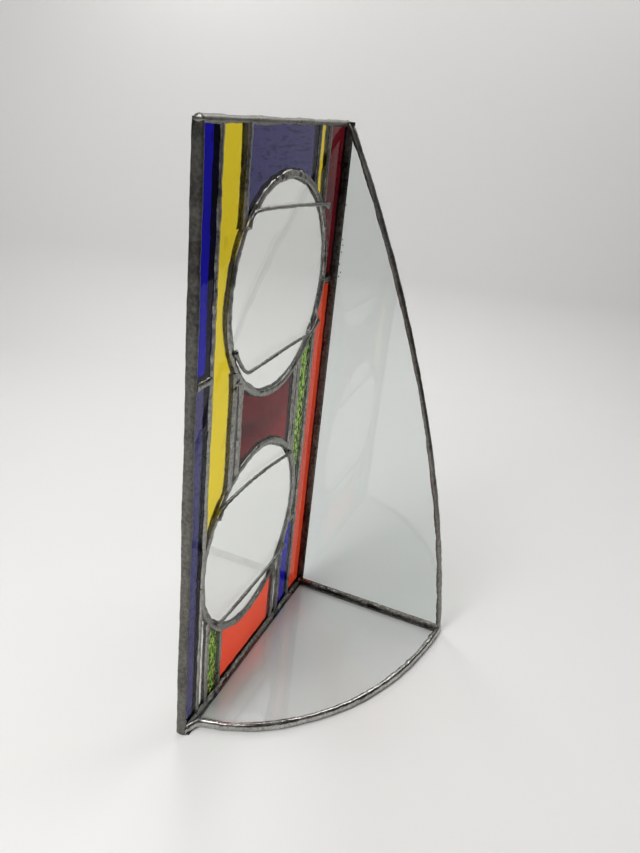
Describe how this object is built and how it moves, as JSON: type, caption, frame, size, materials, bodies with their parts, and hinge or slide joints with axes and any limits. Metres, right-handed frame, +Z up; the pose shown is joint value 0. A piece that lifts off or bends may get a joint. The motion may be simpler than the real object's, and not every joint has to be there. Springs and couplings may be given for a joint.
{
  "type": "standing stained glass corner panel",
  "caption": "Standing open corner of foiled and soldered glass: an upright panel of coloured strips round clear round windows, with a clear bowed side wing and a clear base plate.",
  "frame": {"origin": "middle of the object's footprint, on the surface it stands on", "axes": "+Z up; the coloured panel faces -Y, the clear base and wing reach towards -Y, and the wing is at the +X end"},
  "size_m": [0.153, 0.1086, 0.305],
  "materials": {
    "solder": "dull grey tin-lead solder over copper foil, uneven and pitted",
    "tinned_wire": "tinned copper wire with soldered ends",
    "clear_glass": "clear float glass",
    "blue_glass": "smooth transparent deep blue glass",
    "violet_glass": "smooth transparent muted violet glass with fine seeds",
    "yellow_glass": "smooth transparent yellow glass",
    "dark_red_glass": "smooth transparent dark red glass",
    "orange_glass": "smooth transparent orange-red glass",
    "maroon_glass": "streaky maroon glass",
    "green_ripple_glass": "rippled transparent green glass"
  },
  "bodies": {
    "root": {"glass_deep_blue": "blue_glass", "glass_violet_left": "violet_glass", "glass_yellow_long": "yellow_glass", "glass_violet_top": "violet_glass", "glass_yellow_top": "yellow_glass", "glass_dark_red": "dark_red_glass", "glass_orange_right": "orange_glass", "glass_sliver_centre": "clear_glass", "glass_maroon": "maroon_glass", "glass_sliver_right": "clear_glass", "glass_green_right": "green_ripple_glass", "glass_blue_lower": "blue_glass", "glass_sliver_lower": "clear_glass", "glass_orange_lower": "orange_glass", "glass_green_lower": "green_ripple_glass", "glass_sliver_left": "clear_glass", "disc_upper": "clear_glass", "disc_lower": "clear_glass", "glass_wing": "clear_glass", "glass_base": "clear_glass", "solder_ring_upper": "solder", "solder_ring_lower": "solder", "solder_left_upper": "solder", "solder_left_lower": "solder", "solder_yellow_upper": "solder", "solder_yellow_lower": "solder", "solder_maroon_left": "solder", "solder_maroon_right": "solder", "solder_yellow_top": "solder", "solder_red_left": "solder", "solder_green_left": "solder", "solder_orange_left": "solder", "solder_blue_lower": "solder", "solder_orange_lower": "solder", "solder_green_lower": "solder", "solder_sliver_lower": "solder", "solder_blue_join": "solder", "solder_red_join": "solder", "solder_green_join": "solder", "solder_edge_left": "solder", "solder_edge_top": "solder", "solder_edge_wing": "solder", "solder_edge_base": "solder", "solder_corner_wing": "solder", "solder_corner_base": "solder", "solder_corner_foot": "solder", "wire_upper_top": "tinned_wire", "wire_upper_bottom": "tinned_wire", "wire_lower_top": "tinned_wire", "wire_lower_bottom": "tinned_wire"}
  },
  "joints": []
}
